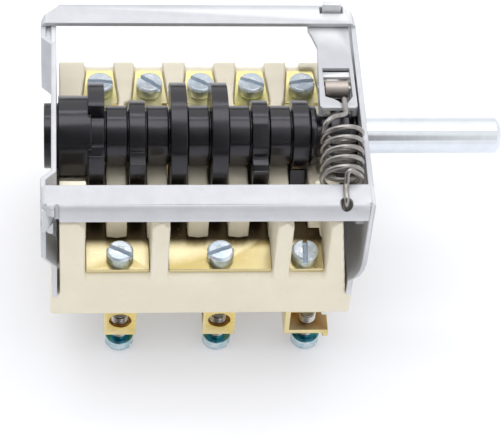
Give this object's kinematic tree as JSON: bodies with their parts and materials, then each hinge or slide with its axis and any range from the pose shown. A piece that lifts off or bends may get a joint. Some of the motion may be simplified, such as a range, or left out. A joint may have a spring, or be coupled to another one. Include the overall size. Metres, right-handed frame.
{
  "type": "rotary cam switch",
  "caption": "Rotary cam switch for a hot plate: ceramic base with screw terminals, black camshaft in a folded steel frame, sprung detent lever and round shaft.",
  "frame": {"origin": "shaft axis at the outer face of the front plate, which seats against the panel", "axes": "+X out along the shaft, +Z away from the ceramic base, +Y from the three-terminal side to the five-terminal side"},
  "size_m": [0.076, 0.0448, 0.0462],
  "materials": {
    "zinc_sheet": "zinc-plated, satin",
    "ceramic": "unglazed, fine-grained",
    "black_moulding": "glossy",
    "bright_steel": "bright",
    "lever_sheet": "zinc-plated, satin",
    "roller_steel": "turned",
    "spring_steel": "drawn wire",
    "contact_bronze": "rolled",
    "follower_plastic": "moulded",
    "blue_zinc": "blue zinc-plated",
    "zinc_screw": "zinc-plated",
    "clamp_brass": "bright",
    "strip_brass": "rolled, bright"
  },
  "bodies": {
    "base": {"frame": "zinc_sheet", "ceramic_base": "ceramic", "tension_spring": "spring_steel", "feed_strip_1": "strip_brass", "feed_strip_2": "strip_brass", "feed_strip_3": "strip_brass", "load_strip_1": "strip_brass", "load_strip_2": "strip_brass", "load_strip_3": "strip_brass", "load_strip_4": "strip_brass", "load_strip_5": "strip_brass", "contact_blade_1": "contact_bronze", "contact_blade_2": "contact_bronze", "contact_blade_3": "contact_bronze", "contact_blade_4": "contact_bronze", "contact_blade_5": "contact_bronze", "contact_blade_6": "contact_bronze", "follower_1": "follower_plastic", "follower_2": "follower_plastic", "follower_3": "follower_plastic", "follower_4": "follower_plastic", "follower_5": "follower_plastic", "follower_6": "follower_plastic", "feed_screw_1": "zinc_screw", "feed_screw_2": "zinc_screw", "feed_screw_3": "zinc_screw", "load_screw_1": "zinc_screw", "load_screw_2": "zinc_screw", "load_screw_3": "zinc_screw", "load_screw_4": "zinc_screw", "load_screw_5": "zinc_screw", "feed_clamp_1": "clamp_brass", "feed_clamp_2": "clamp_brass", "feed_clamp_3": "clamp_brass", "load_clamp_1": "clamp_brass", "load_clamp_2": "clamp_brass", "load_clamp_3": "clamp_brass", "load_clamp_4": "clamp_brass", "load_clamp_5": "clamp_brass", "feed_clamp_screw_1": "blue_zinc", "feed_clamp_screw_2": "blue_zinc", "feed_clamp_screw_3": "blue_zinc", "load_clamp_screw_1": "blue_zinc", "load_clamp_screw_2": "blue_zinc", "load_clamp_screw_3": "blue_zinc", "load_clamp_screw_4": "blue_zinc", "load_clamp_screw_5": "blue_zinc"},
    "rotor": {"camshaft": "black_moulding", "shaft": "bright_steel"},
    "lever": {"detent_lever": "lever_sheet", "roller_pin": "bright_steel"},
    "roller": {"detent_roller": "roller_steel"}
  },
  "joints": [
    {"name": "shaft_turn", "type": "hinge", "parent": "base", "child": "rotor", "pos_m": [0, 0, 0], "axis": [1, 0, 0], "continuous": true},
    {"name": "lever_swing", "type": "hinge", "parent": "base", "child": "lever", "pos_m": [-0.004, 0.02075, 0.00797], "axis": [-1, 0, 0], "range_deg": [-2, 4], "stiffness_Nm_per_rad": 0.4, "deforming": ["tension_spring"]},
    {"name": "roller_spin", "type": "hinge", "parent": "lever", "child": "roller", "pos_m": [-0.00415, 0.005, 0.00587], "axis": [1, 0, 0], "continuous": true}
  ]
}
